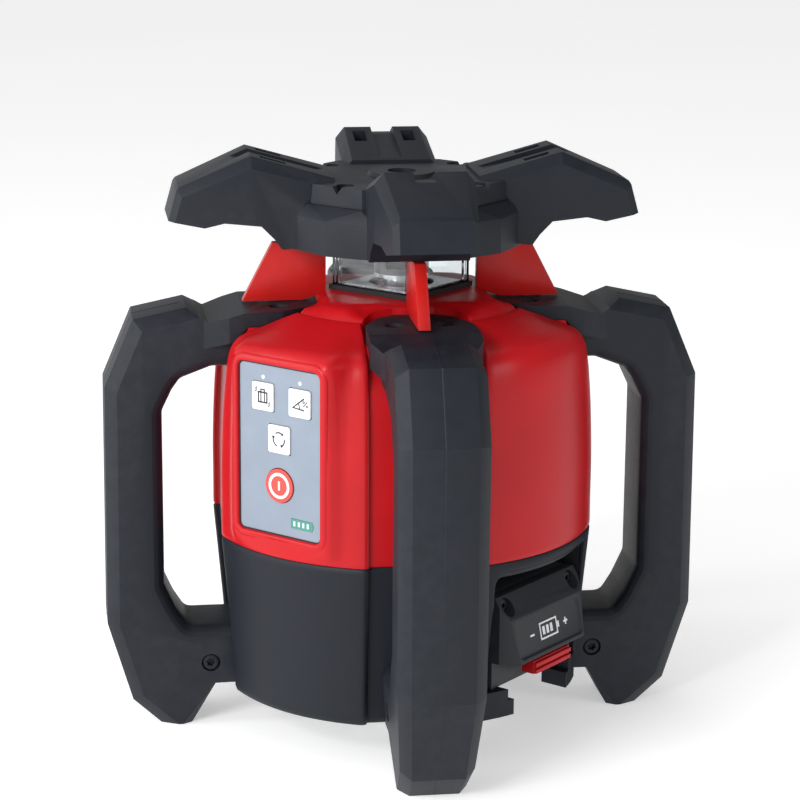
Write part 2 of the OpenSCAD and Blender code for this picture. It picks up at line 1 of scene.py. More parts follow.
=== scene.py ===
"""Looks of the rotating laser level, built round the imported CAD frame. Metres, +Z up."""

import json
import math

import bmesh
import bpy
from mathutils import Matrix, Vector

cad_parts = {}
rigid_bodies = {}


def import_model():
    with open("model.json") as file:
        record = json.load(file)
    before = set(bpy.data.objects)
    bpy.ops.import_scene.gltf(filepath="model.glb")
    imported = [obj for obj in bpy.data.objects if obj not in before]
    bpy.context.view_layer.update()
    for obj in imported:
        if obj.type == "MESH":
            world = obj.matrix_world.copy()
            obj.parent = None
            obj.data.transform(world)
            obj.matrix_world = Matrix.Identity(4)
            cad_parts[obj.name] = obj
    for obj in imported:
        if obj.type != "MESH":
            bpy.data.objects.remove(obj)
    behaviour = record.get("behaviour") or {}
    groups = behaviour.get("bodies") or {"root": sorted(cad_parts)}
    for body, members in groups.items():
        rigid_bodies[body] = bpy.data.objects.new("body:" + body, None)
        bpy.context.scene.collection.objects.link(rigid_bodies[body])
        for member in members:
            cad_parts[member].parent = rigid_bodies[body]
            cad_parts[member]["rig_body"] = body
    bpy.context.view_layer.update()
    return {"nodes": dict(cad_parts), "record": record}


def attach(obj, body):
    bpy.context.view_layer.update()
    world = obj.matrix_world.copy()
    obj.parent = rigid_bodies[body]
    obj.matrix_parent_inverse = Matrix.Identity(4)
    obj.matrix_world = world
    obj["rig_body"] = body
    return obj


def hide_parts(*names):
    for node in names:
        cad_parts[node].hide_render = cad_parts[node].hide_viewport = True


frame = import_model()
nodes = frame["nodes"]
MM = 0.001

# ---------------------------------------------------------------- camera

CAMERA_AZIMUTH = -8.24
CAMERA_ELEVATION = 14.03
CAMERA_DISTANCE = 1.0863
CAMERA_TARGET = Vector((0, 0, 0.1366))
CAMERA_ROLL = 0.43
CAMERA_LENS = 115.1
SENSOR_WIDTH = 36


def make_camera():
    azimuth = math.radians(CAMERA_AZIMUTH)
    elevation = math.radians(CAMERA_ELEVATION)
    back = Vector((
        math.sin(azimuth) * math.cos(elevation),
        -math.cos(azimuth) * math.cos(elevation),
        math.sin(elevation),
    ))
    data = bpy.data.cameras.new("camera")
    data.lens = CAMERA_LENS
    data.sensor_width = SENSOR_WIDTH
    data.clip_start = 0.05
    data.clip_end = 50
    camera = bpy.data.objects.new("camera", data)
    bpy.context.scene.collection.objects.link(camera)
    turn = (-back).to_track_quat("-Z", "Y").to_matrix().to_4x4()
    roll = Matrix.Rotation(math.radians(CAMERA_ROLL), 4, "Z")
    camera.matrix_world = Matrix.Translation(CAMERA_TARGET + back * CAMERA_DISTANCE) @ turn @ roll
    bpy.context.scene.camera = camera

make_camera()

# ---------------------------------------------------------------- materials


def map_range(tree, value, limits):
    """A Map Range node: limits are From Min, From Max, To Min and To Max."""
    node = tree.nodes.new("ShaderNodeMapRange")
    for key, number in zip(("From Min", "From Max", "To Min", "To Max"), limits):
        node.inputs[key].default_value = number
    tree.links.new(value, node.inputs["Value"])
    return node.outputs["Result"]


class Nodes:
    """A short way to write a material's node tree."""

    def __init__(self, name):
        self.material = bpy.data.materials.new(name)
        self.material.use_nodes = True
        self.tree = self.material.node_tree
        self.shader = self.tree.nodes["Principled BSDF"]
        self.place = self.add("ShaderNodeTexCoord").outputs["Object"]

    def add(self, kind, **settings):
        node = self.tree.nodes.new(kind)
        for key, value in settings.items():
            setattr(node, key, value)
        return node

    def join(self, output, target):
        self.tree.links.new(output, target)

    def noise(self, scale, detail=2.0, rough=0.5):
        node = self.add("ShaderNodeTexNoise")
        node.inputs["Scale"].default_value = scale
        node.inputs["Detail"].default_value = detail
        node.inputs["Roughness"].default_value = rough
        self.join(self.place, node.inputs["Vector"])
        return node.outputs["Fac"]

    def spread(self, value, low, high, out_low, out_high):
        """Maps low..high to out_low..out_high and holds the value inside them."""
        return map_range(self.tree, value, (low, high, out_low, out_high))

    def math(self, operation, first, second):
        node = self.add("ShaderNodeMath", operation=operation)
        for socket, value in zip(node.inputs, (first, second)):
            if isinstance(value, (int, float)):
                socket.default_value = value
            else:
                self.join(value, socket)
        return node.outputs["Value"]

    def mix(self, factor, first, second):
        node = self.add("ShaderNodeMix", data_type="RGBA")
        self.join(factor, node.inputs["Factor"])
        for socket, value in ((node.inputs[6], first), (node.inputs[7], second)):
            if isinstance(value, tuple):
                socket.default_value = (*value, 1)
            else:
                self.join(value, socket)
        return node.outputs[2]

    def bump(self, height, strength, depth):
        """Roughens the surface by a height, depth millimetres deep."""
        node = self.add("ShaderNodeBump")
        node.inputs["Strength"].default_value = strength
        node.inputs["Distance"].default_value = depth * MM
        self.join(height, node.inputs["Height"])
        self.join(node.outputs["Normal"], self.shader.inputs["Normal"])

    def set(self, name, value):
        self.shader.inputs[name].default_value = value

    def colour(self, output):
        self.join(output, self.shader.inputs["Base Color"])

    def rough(self, output):
        self.join(output, self.shader.inputs["Roughness"])


def shaded(colour, factor):
    return tuple(min(1, c * factor) for c in colour)


def moulded(name, colour, rough, grain=0.8, depth=0.02, wear=0.22):
    """Moulded plastic: a spark-eroded grain, faint patches of shade, and edges rubbed lighter."""
    m = Nodes(name)
    fine = m.noise(1 / (grain * MM), 3, 0.6)
    broad = m.noise(28, 4, 0.6)
    scuff = m.noise(160, 5, 0.7)
    patch = 0.05
    base = m.mix(m.spread(broad, 0.35, 0.65, 0, 1), shaded(colour, 1 - patch), shaded(colour, 1 + patch))
    edge = m.add("ShaderNodeNewGeometry").outputs["Pointiness"]
    rubbed = m.math("MULTIPLY", m.spread(edge, 0.51, 0.6, 0, wear), m.spread(scuff, 0.4, 0.62, 0.2, 1))
    worn = tuple(min(1, c * 1.7 + 0.02) for c in colour)
    m.colour(m.mix(rubbed, base, worn))
    m.rough(m.spread(m.math("ADD", scuff, fine), 0.7, 1.3, rough - 0.04, rough + 0.04))
    m.bump(fine, 0.6, depth)
    m.set("Specular IOR Level", 0.25)
    return m.material


def metal(name, colour, rough, brushed=True, metallic=1.0):
    """Machined or cast metal with fine tool marks and a little staining."""
    m = Nodes(name)
    fine = m.noise(2500 if brushed else 900, 3, 0.6)
    stain = m.noise(60, 4, 0.6)
    m.colour(m.mix(m.spread(stain, 0.4, 0.65, 0, 1), colour, shaded(colour, 0.82)))
    m.rough(m.spread(m.math("ADD", fine, stain), 0.7, 1.3, rough - 0.08, rough + 0.12))
    m.bump(fine, 0.4, 0.01)
    m.set("Metallic", metallic)
    return m.material


def glass(name, colour, ior=1.5):
    """Optical glass with faint smears."""
    m = Nodes(name)
    smear = m.noise(90, 4, 0.6)
    m.rough(m.spread(smear, 0.4, 0.7, 0.02, 0.07))
    m.colour(m.mix(m.spread(smear, 0.3, 0.7, 0, 1), colour, shaded(colour, 0.96)))
    m.set("Transmission Weight", 1.0)
    m.set("IOR", ior)
    return m.material


def printed(name, colour, rough, grain, coat):
    """Printed film, keys and lenses: nearly even colour with a light texture."""
    m = Nodes(name)
    fine = m.noise(1 / (grain * MM), 2, 0.5)
    broad = m.noise(70, 3, 0.5)
    m.colour(m.mix(m.spread(broad, 0.35, 0.65, 0, 1), colour, shaded(colour, 0.93)))
    m.rough(m.spread(fine, 0.3, 0.7, rough - 0.05, rough + 0.05))
    m.bump(fine, 0.3, 0.008)
    m.set("Coat Weight", coat)
    return m.material

CHARCOAL = (0.0095, 0.0118, 0.0175)
RED = (0.47, 0.006, 0.010)

finish = {
    "charcoal_shell": moulded("charcoal_shell", CHARCOAL, 0.52, 0.9, 0.03),
    "charcoal_grip": moulded("charcoal_grip", CHARCOAL, 0.5, 0.9, 0.03),
    "charcoal_cap": moulded("charcoal_cap", CHARCOAL, 0.5, 0.9, 0.03),
    "red_shell": moulded("red_shell", RED, 0.34, 0.5, 0.006, wear=0.15),
    "red_cage": moulded("red_cage", (0.52, 0.012, 0.010), 0.3, 0.5, 0.006, wear=0.1),
    "black_rubber": moulded("black_rubber", (0.018, 0.018, 0.02), 0.7, 0.6, 0.02, wear=0.1),
    "black_plastic": moulded("black_plastic", (0.02, 0.021, 0.024), 0.45, 0.7, 0.02),
    "battery_plastic": moulded("battery_plastic", (0.024, 0.026, 0.031), 0.46, 0.8, 0.03),
    "red_latch": moulded("red_latch", (0.42, 0.006, 0.010), 0.4, 0.6, 0.01, wear=0.15),
    "clear_glass": glass("clear_glass", (0.93, 0.97, 0.98)),
    "coated_glass": glass("coated_glass", (0.75, 0.86, 0.95), 1.6),
    "vial_glass": glass("vial_glass", (0.8, 0.95, 0.6)),
    "bright_plate": metal("bright_plate", (0.72, 0.74, 0.76), 0.28),
    "keypad_film": printed("keypad_film", (0.225, 0.27, 0.335), 0.42, 0.4, 0.1),
    "led_lens": printed("led_lens", (0.62, 0.76, 0.72), 0.2, 0.4, 0.6),
    "gauge_green": printed("gauge_green", (0.05, 0.24, 0.19), 0.3, 0.4, 0.4),
    "key_white": printed("key_white", (0.78, 0.79, 0.82), 0.4, 0.4, 0.1),
    "key_red": printed("key_red", (0.62, 0.05, 0.035), 0.38, 0.4, 0.2),
    "circuit_board": printed("circuit_board", (0.012, 0.09, 0.035), 0.4, 0.8, 0.3),
    "ivory_plastic": moulded("ivory_plastic", (0.62, 0.58, 0.46), 0.4, 0.6, 0.01, wear=0.1),
    "cast_aluminium": metal("cast_aluminium", (0.58, 0.59, 0.6), 0.45, False),
    "dark_aluminium": metal("dark_aluminium", (0.09, 0.09, 0.1), 0.4),
    "brass": metal("brass", (0.62, 0.43, 0.16), 0.3),
    "motor_can": metal("motor_can", (0.5, 0.5, 0.52), 0.3),
    "bearing_steel": metal("bearing_steel", (0.6, 0.6, 0.62), 0.22),
    "cell_wrap": printed("cell_wrap", (0.05, 0.22, 0.3), 0.35, 0.6, 0.3),
    "dark_screw": metal("dark_screw", (0.035, 0.036, 0.04), 0.38, False, 0.85),
}

slot_of = {sub["node"]: sub["material_slot"] for sub in frame["record"]["subparts"]}
for name, node in nodes.items():
    for index in range(len(node.material_slots)):
        node.material_slots[index].material = finish[slot_of[name]]


# ---------------------------------------------------------------- pieces and solids

UP = (0, 0, 1)
CENTRE = (0, 0, 0)
QUARTERS = (0, 90, 180, 270)


def body_of(node):
    return nodes[node]["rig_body"]


def mesh_from(name, bm):
    mesh = bpy.data.meshes.new(name)
    bm.to_mesh(mesh)
    bm.free()
    return mesh


def new_object(name, mesh):
    made = bpy.data.objects.new(name, mesh)
    bpy.context.scene.collection.objects.link(made)
    return made


def add_piece(name, mesh, slot, body, node=None):
    """Makes a piece that rides on a body, wears a slot's finish and may stand for a CAD node."""
    if isinstance(mesh, bmesh.types.BMesh):
        mesh = mesh_from(name, mesh)
    mesh.materials.clear()
    mesh.materials.append(finish[slot])
    piece = new_object(name, mesh)
    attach(piece, body)
    if node:
        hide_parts(node)
    return piece


def bake_modifiers(piece):
    """Applies a piece's modifiers, so its mesh is final."""
    depsgraph = bpy.context.evaluated_depsgraph_get()
    mesh = bpy.data.meshes.new_from_object(piece.evaluated_get(depsgraph))
    mesh.name = piece.name
    piece.modifiers.clear()
    piece.data = mesh


def shade(piece, angle):
    """Smooth shading, with edges sharper than an angle kept crisp."""
    for face in piece.data.polygons:
        face.use_smooth = True
    piece.data.set_sharp_from_angle(angle=math.radians(angle))


def soft_edges(piece, width, angle):
    """Rounds every edge sharper than an angle, as a mould does."""
    bevel = piece.modifiers.new("edges", "BEVEL")
    bevel.width = width * MM
    bevel.segments = 2
    bevel.limit_method = "ANGLE"
    bevel.angle_limit = math.radians(angle)
    bake_modifiers(piece)


def piece_from_cad(node, join_flats=True):
    """A piece that copies its CAD node and replaces it, with its flat faces joined up."""
    bm = bmesh.new()
    bm.from_mesh(nodes[node].data)
    bmesh.ops.remove_doubles(bm, verts=bm.verts, dist=0.002 * MM)
    if join_flats:
        bmesh.ops.dissolve_limit(bm, angle_limit=math.radians(0.6), verts=bm.verts, edges=bm.edges)
    return add_piece(node + "_moulded", bm, slot_of[node], body_of(node), node)


def work_solid(bm):
    """A solid to be worked on before finish_solid makes it a piece."""
    return new_object("solid", mesh_from("solid", bm))


def finish_solid(solid, node, width, angle):
    """Softens a worked-up solid's edges and adds it in place of its CAD node."""
    soft_edges(solid, width, angle)
    mesh = solid.data
    bpy.data.objects.remove(solid)
    shade(add_piece(node + "_moulded", mesh, slot_of[node], body_of(node), node), angle + 6)


def combine(piece, tool_bm, operation):
    """Joins, cuts or crosses a piece with a closed tool shape and bakes the result."""
    tool = work_solid(tool_bm)
    boolean = piece.modifiers.new("combine", "BOOLEAN")
    boolean.operation = operation
    boolean.solver = "EXACT"
    boolean.object = tool
    bpy.context.view_layer.update()
    bake_modifiers(piece)
    bpy.data.objects.remove(tool)


def join_piece(piece, tool_bm):
    combine(piece, tool_bm, "UNION")


def cut_piece(piece, tool_bm):
    combine(piece, tool_bm, "DIFFERENCE")


def bridge(bm, rings, closed=False):
    """Joins rings of equal length into a surface: a closed loop of rings, or a tube with two end faces."""
    made = [[bm.verts.new(Vector(p) * MM) for p in ring] for ring in rings]
    pairs = list(zip(made, made[1:])) + ([(made[-1], made[0])] if closed else [])
    for a, b in pairs:
        for i in range(len(a)):
            j = (i + 1) % len(a)
            bm.faces.new((a[i], a[j], b[j], b[i]))
    if not closed:
        bm.faces.new(made[0])
        bm.faces.new(made[-1])


def loft(rings, closed=False):
    bm = bmesh.new()
    bridge(bm, rings, closed)
    bmesh.ops.recalc_face_normals(bm, faces=bm.faces)
    return bm


def spun(place, axis, profile, steps):
    """Rings round an axis: profile lists (radius, distance along the axis), and a radius may be a list."""
    axis = Vector(axis).normalized()
    side = axis.orthogonal().normalized()
    other = axis.cross(side)
    rings = []
    for radius, along in profile:
        ring = []
        for i in range(steps):
            turn = 2 * math.pi * i / steps
            r = radius[i] if isinstance(radius, list) else radius
            out = side * math.cos(turn) * r + other * math.sin(turn) * r
            ring.append(Vector(place) + out + axis * along)
        rings.append(ring)
    return rings


def lathe(place, axis, profile, steps=32):
    """A turned shape: profile is (radius, distance along axis) from end to end."""
    return loft(spun(place, axis, profile, steps))


def prism(outline, half):
    """A (x, z) outline drawn out to half its width each way in y."""
    return loft([[(x, y, z) for x, z in outline] for y in (-half, half)])


def slab(plan, low, high):
    """A (x, y) plan drawn from one height to another."""
    return loft([[(x, y, z) for x, y in plan] for z in (low, high)])


def hull(points):
    """The convex solid round a set of points."""
    bm = bmesh.new()
    for point in points:
        bm.verts.new(Vector(point) * MM)
    made = bmesh.ops.convex_hull(bm, input=bm.verts)
    spare = {g for g in made["geom_interior"] + made["geom_unused"] if isinstance(g, bmesh.types.BMVert)}
    bmesh.ops.delete(bm, geom=list(spare), context="VERTS")
    bmesh.ops.dissolve_limit(bm, angle_limit=math.radians(0.5), verts=bm.verts, edges=bm.edges)
    bmesh.ops.recalc_face_normals(bm, faces=bm.faces)
    return bm


def block(x, y, z):
    """A box between pairs of limits."""
    return hull([(a, b, c) for a in x for b in y for c in z])


def turned(bm, degrees):
    """The same solid, turned about Z."""
    bm.transform(Matrix.Rotation(math.radians(degrees), 4, "Z"))
    return bm


def facing(turn, d, s, z):
    """A point d out along a direction, s across it and z up, in millimetres."""
    return (
        d * math.cos(turn) - s * math.sin(turn),
        d * math.sin(turn) + s * math.cos(turn),
        z,
    )


def front_of(node, turn):
    """How far out a CAD node reaches along a direction, in millimetres."""
    out = Vector((math.cos(turn), math.sin(turn), 0))
    return max(v.co.dot(out) for v in nodes[node].data.vertices) / MM


# ---------------------------------------------------------------- curves


def ease(t):
    """Smooth step from 0 to 1."""
    t = max(0.0, min(1.0, t))
    return t * t * (3 - 2 * t)


def between(points, x):
    """Reads a value from (x, value) pairs by straight interpolation."""
    if x <= points[0][0]:
        return points[0][1]
    for (x0, v0), (x1, v1) in zip(points, points[1:]):
        if x <= x1:
            return v0 + (v1 - v0) * (x - x0) / (x1 - x0)
    return points[-1][1]


def curve_through(points, step):
    """A smooth (radius, height) line through points, with a point about every step millimetres."""
    ends = [points[0], *points, points[-1]]
    line = []
    for p0, p1, p2, p3 in zip(ends, ends[1:], ends[2:], ends[3:]):
        count = max(1, round(math.dist(p1, p2) / step))
        for i in range(count):
            t = i / count
            line.append(tuple(
                0.5 * (2 * b + (c - a) * t + (2 * a - 5 * b + 4 * c - d) * t * t
                       + (3 * b - a - 3 * c + d) * t ** 3)
                for a, b, c, d in zip(p0, p1, p2, p3)
            ))
    return [*line, points[-1]]


def rounded_rect(half_w, half_h, radius, steps=6):
    """Corner points of a rounded rectangle, anticlockwise."""
    points = []
    for corner, (sx, sy) in enumerate(((1, 1), (-1, 1), (-1, -1), (1, -1))):
        for i in range(steps + 1):
            angle = math.pi / 2 * (corner + i / steps)
            points.append((
                sx * (half_w - radius) + radius * math.cos(angle),
                sy * (half_h - radius) + radius * math.sin(angle),
            ))
    return points


def round_corners(points, radius, steps=4):
    """Rounds the inner corners of an open line of points."""
    line = [points[0]]
    for before, here, after in zip(points, points[1:], points[2:]):
        here = Vector(here)
        a, b = Vector(before) - here, Vector(after) - here
        half = a.angle(b) / 2
        cut_back = min(radius / math.tan(half), a.length * 0.45, b.length * 0.45)
        start, stop = here + a.normalized() * cut_back, here + b.normalized() * cut_back
        for i in range(steps + 1):
            t = i / steps
            line.append(tuple(start * (1 - t) ** 2 + here * 2 * t * (1 - t) + stop * t * t))
    return [*line, points[-1]]


def arc(radius, start, stop, steps=10, centre=(0, 0)):
    """Points along a circle between two angles in degrees."""
    return [
        (centre[0] + radius * math.cos(math.radians(start + (stop - start) * i / steps)),
         centre[1] + radius * math.sin(math.radians(start + (stop - start) * i / steps)))
        for i in range(steps + 1)
    ]


def split_sides(points, parts=10):
    """Adds points along the long straight sides of a closed outline, so that they can be bent."""
    line = []
    for here, after in zip(points, points[1:] + points[:1]):
        count = parts if math.dist(here, after) > 8 else 1
        line += [
            (here[0] + (after[0] - here[0]) * i / count, here[1] + (after[1] - here[1]) * i / count)
            for i in range(count)
        ]
    return line


# ---------------------------------------------------------------- shells

SPLIT_Z = 86.6
SEAM_GAP = 0.1
SHELL_R = 82
TOP_Z = 185.5
GROOVE_HALF = 22.7
EDGE_ROUND = 3.0
SEAT_Z = 174.6
SEAT_INNER_R = 36.2
SEAT_OUTER_R = 66
SEAT_FOOT_X = 73.6
SEAT_FOOT_Z = 158
RIM_R = 52
LOBE_FADE = 15
DOME_FADE = 9
KEYPAD_TURN = math.radians(-135)
KEYPAD_MID_Z = 130.9
KEYPAD_HALF_W = 21
KEYPAD_HALF_H = 35
BATTERY_TURN = math.radians(-45)
OPENING_LOW_Z = 15.0
OPENING_HIGH_Z = 81.6
OPENING_HALF_W = 32.8


def seat_half(radius):
    """Half width of the seat under a handle's bracket, at a radius on top of the shell."""
    return between([(0, 0), (36, 8.4), (41, 17.4), (RIM_R, GROOVE_HALF)], radius)


def dome_height(radius):
    """Height of the dome where it meets a bracket's inner end."""
    return between([(31, TOP_Z), (36, 184.2), (44, 182.4), (RIM_R, 181.1), (60, 190)], radius)


def shell_section(radius, z, normal, seat):
    """One level of a lobed shell, from the middle of one lobe to the middle of the next.

    seat is the (x, z) of the groove or bracket seat, or None where the shell runs straight across.
    """
    lobe_columns, groove_columns, fillet_columns = 20, 8, 4
    half = GROOVE_HALF if radius > RIM_R else seat_half(radius)
    round_r = EDGE_ROUND if radius > 76 else between([(60, 0.9), (76, EDGE_ROUND)], radius)
    if seat is None:
        round_r = 0.04
    groove = []
    for c in range(groove_columns + 1):
        y = half * (2 * c / groove_columns - 1) * 0.998
        if seat is None:
            low = min(z, dome_height(radius)) if radius < RIM_R and z > 183 else z
            groove.append((math.sqrt(max(radius ** 2 - y * y, 0)), y, low))
        else:
            groove.append((seat[0], y, seat[1]))
    lobe = []
    for c in range(fillet_columns + 1):
        turn = math.pi / 2 * c / fillet_columns
        y = half + round_r * (1 - math.cos(turn))
        sink = round_r * (1 - math.sin(turn)) if seat else 0
        lobe.append((radius - sink * normal.x, y, z - sink * normal.y))
    edge = math.asin(min(1, (half + round_r) / radius))
    for c in range(1, lobe_columns + 1):
        angle = edge + (math.pi / 4 - edge) * c / lobe_columns
        lobe.append((radius, radius * math.sin(angle), z))
    eased = []
    for r, y, height in lobe:
        beside = 1 - ease((y - half) / LOBE_FADE)
        drop = beside * ease((height - 138) / 30) * ease((r - 50) / 18)
        r, height = r - 0.4 * drop, height - 0.8 * drop
        if r < RIM_R and height > 180:
            height -= (1 - ease((y - half) / DOME_FADE)) * max(0, height - dome_height(r))
        eased.append((math.sqrt(max(r * r - y * y, 0)), y, height))
    return [(x, -y, h) for x, y, h in reversed(eased)] + groove + eased[:-1]


def lobed_shell(outline, seats):
    """A closed shell with four lobes between the handles' grooves.

    outline is the closed (radius, height) loop at the diagonals. seats gives the seat beside each of
    its points. Near the top the lobes ease down a little towards each groove, and the dome eases down
    to each bracket.
    """
    rings = []
    for i, (radius, z) in enumerate(outline):
        before, after = outline[i - 1], outline[(i + 1) % len(outline)]
        along = Vector((after[0] - before[0], after[1] - before[1])).normalized()
        normal = Vector((along.y, -along.x))
        if normal.x + normal.y < 0:
            normal = -normal
        if radius > 70 and z < 150:
            normal = Vector((1, 0))
        quarter = shell_section(radius, z, normal, seats(radius, z))
        spins = [Matrix.Rotation(math.radians(turn), 4, "Z") for turn in QUARTERS]
        rings.append([spin @ Vector(p) for spin in spins for p in quarter])
    bm = bmesh.new()
    bridge(bm, rings, closed=True)
    bmesh.ops.remove_doubles(bm, verts=bm.verts, dist=0.001 * MM)
    bmesh.ops.recalc_face_normals(bm, faces=bm.faces)
    return bm


def groove_seat(radius, z):
    """The flat floor of a groove down a handle's side, where the round wall is radius out."""
    return (math.sqrt((radius - EDGE_ROUND) ** 2 - GROOVE_HALF ** 2) - 0.15, z)


def upper_seat(radius, z):
    """The groove down a handle's side of the upper shell and the bracket's seat above it."""
    if radius < SEAT_INNER_R:
        return None
    if radius < SEAT_OUTER_R:
        return (radius, SEAT_Z)
    if radius > 70:
        reach = between([(SEAT_FOOT_Z, 0), (176.5, 1)], z)
    else:
        reach = between([(SEAT_OUTER_R, 1), (70, 0.9)], radius)
    if z <= SEAT_FOOT_Z:
        return groove_seat(radius, z)
    return (
        SEAT_FOOT_X + (SEAT_OUTER_R - SEAT_FOOT_X) * reach,
        SEAT_FOOT_Z + (SEAT_Z - SEAT_FOOT_Z) * reach,
    )


def inner_seat(radius, z):
    """The inside of the upper shell behind its seats and grooves."""
    if radius < SEAT_INNER_R - 2:
        return None
    if radius < 70:
        return (radius, z)
    return groove_seat(radius, z)


def base_seat(radius, z):
    return groove_seat(radius, z) if radius > 70 else None


def swell_keypad(bm):
    """Swells the shell up to the keypad's rim and sinks it behind the keypad."""
    out = Vector((math.cos(KEYPAD_TURN), math.sin(KEYPAD_TURN), 0))
    across = Vector((-out.y, out.x, 0))
    half_w, half_h = KEYPAD_HALF_W, KEYPAD_HALF_H
    floor_d, rim_d = 78.1, 81.1
    for v in bm.verts:
        p = v.co / MM
        d, s, z = p.dot(out), p.dot(across), p.z - KEYPAD_MID_Z
        inside_wall = p.to_2d().length < between([(86, 79.6), (150, 78), (168, 71)], p.z)
        if d < 60 or abs(s) > 40 or inside_wall:
            continue
        if abs(s) < half_w + 1.3 and abs(z) < half_h + 1.3:
            shift = floor_d - d
        else:
            past = math.hypot(max(abs(s) - half_w - 2.2, 0), max(abs(z) - half_h - 2.2, 0))
            reach = 6.5 if z < 0 or abs(s) > half_w + 3 else 8.5
            shift = max(rim_d - d, 0) * (1 - ease(past / reach))
        v.co += out * shift * MM


def make_upper_shell():
    outside = curve_through([
        (81.5, SPLIT_Z + 0.15), (SHELL_R, SPLIT_Z + 0.8), (SHELL_R, 100), (SHELL_R, 116), (81.5, 133),
        (80.6, 150), (79.8, 160), (78.3, 167.5), (75.2, 172.0), (70.5, 174.4), (64, 176.5), (57.5, 178.7),
        (52.6, 180.3),
    ], 2.4)
    top = [
        (51.6, 180.55), (50.9, 180.4), (50.5, 179.9), (50.2, 179.9), (49.4, 180.9), (48, 182.2),
        (46.6, 183.4), (45, 184.3), (43, 184.9), (40.5, 185.3), (38, TOP_Z), (36.3, TOP_Z),
        (36.05, TOP_Z), (32, TOP_Z), (20, TOP_Z),
    ]
    inside = curve_through([
        (20, 182.6), (30, 182.6), (33.5, 182.4), (34.5, 172), (40, 171.6), (60, 171.6), (68, 170.5),
        (74.5, 164), (77.2, 150), (79, 116), (79, SPLIT_Z + 0.15),
    ], 5)
    front = set(outside + top)

    def seats(radius, z):
        return upper_seat(radius, z) if (radius, z) in front else inner_seat(radius, z)

    bm = lobed_shell(outside + top + inside, seats)
    swell_keypad(bm)
    shade(add_piece("upper_shell_moulded", bm, "red_shell", body_of("upper_shell"), "upper_shell"), 40)


def make_keypad_rim():
    """The raised red frame round the keypad. Its profile is (half width, half height, distance out)."""
    profile = [
        (25.2, 39.2, 76), (25.0, 39.0, 79.6), (24.6, 38.6, 80.6), (24.0, 38.0, 81.25), (23.3, 37.3, 81.6),
        (22.2, 36.2, 81.7), (21.7, 35.7, 81.6), (21.35, 35.35, 81.25), (21.2, 35.2, 80.6), (21.2, 35.2, 76),
    ]
    rings = []
    for half_w, half_h, d in profile:
        corner = max(0.8, 3 + half_w - 21.2)
        outline = rounded_rect(half_w, half_h, corner)
        rings.append([facing(KEYPAD_TURN, d, s, KEYPAD_MID_Z + z) for s, z in outline])
    shade(add_piece("keypad_rim", loft(rings, closed=True), "red_shell", body_of("upper_shell")), 50)


def wall_radius(z):
    """How far out the base shell's wall is at a height beside the battery opening."""
    return between([(18, 75.5), (21, 77), (27, 77.1), (54, 79.3), (86, 82)], z)


def opening_ring(grow, reach):
    """An outline of the battery opening. reach says how far out a point is, from the wall's distance."""
    middle = (OPENING_LOW_Z + OPENING_HIGH_Z) / 2
    half_h = (OPENING_HIGH_Z - OPENING_LOW_Z) / 2 + grow
    ring = []
    for s, z in split_sides(rounded_rect(OPENING_HALF_W + grow, half_h, 5 + grow, 8)):
        height = middle + z
        wall = math.sqrt(max(wall_radius(height) ** 2 - s * s, 0))
        ring.append(facing(BATTERY_TURN, reach(wall), s, height))
    return ring


def opening_cutter():
    """The battery opening with an eased edge that follows the round wall."""
    edge = ((0, -1.6), (0.35, -0.75), (1.0, -0.15), (1.9, 0.25))
    rings = [opening_ring(0, lambda wall: 34)]
    rings += [opening_ring(grow, lambda wall, rise=rise: wall + rise) for grow, rise in edge]
    rings += [opening_ring(2.6, lambda wall: 95)]
    return loft(rings)


def sill(side, reach, top):
    """A small sill in a lower corner of the battery opening, from reach across out to the wall."""
    end = 34
    wall = [(math.sqrt(76.9 ** 2 - s * s), side * s) for s in (reach, 27, end)]
    plan = [(62, side * end), (62, side * reach), *wall]
    return hull([facing(BATTERY_TURN, d, s, z) for d, s in plan for z in (18.3, top)])


def make_base_shell():
    outside = curve_through([
        (73.8, 18), (75.4, 18.15), (76.6, 19), (77.2, 21), (77.2, 24), (77.1, 27), (77.8, 36), (79.3, 54),
        (80.4, 67), (81.2, 76), (SHELL_R, 85.8), (81.5, SPLIT_Z - SEAM_GAP),
    ], 2.4)
    inside = curve_through([
        (79, SPLIT_Z - SEAM_GAP), (78, 67), (75.6, 54), (74, 24), (72, 21),
    ], 6)
    floor = [(60, 21), (40, 21), (15.4, 21), (15.4, 18), (40, 18), (60, 18)]
    bm = lobed_shell(outside + inside + floor, base_seat)
    piece = add_piece("base_shell_moulded", bm, "charcoal_shell", body_of("base_shell"), "base_shell")
    cut_piece(piece, opening_cutter())
    for side in (-1, 1):
        for reach, top in ((22.5, 29.8), (19.5, 25)):
            join_piece(piece, sill(side, reach, top))
    shade(piece, 40)


# ---------------------------------------------------------------- keypad marks and the painted shade in the keypad's gap


def strip(points, width, closed):
    """The left and right edges of a line of even width through points."""
    left, right, count = [], [], len(points)
    for i, point in enumerate(points):
        here = Vector(point)
        a = Vector(points[i - 1]) if i > 0 or closed else None
        b = Vector(points[(i + 1) % count]) if i < count - 1 or closed else None
        ways = [w.normalized() for w in ((here - a) if a else None, (b - here) if b else None) if w]
        way = (ways[0] + ways[-1]).normalized()
        side = Vector((-way.y, way.x)) * (width / 2 / max(0.5, way.dot(ways[0])))
        left.append(here + side)
        right.append(here - side)
    return left, right


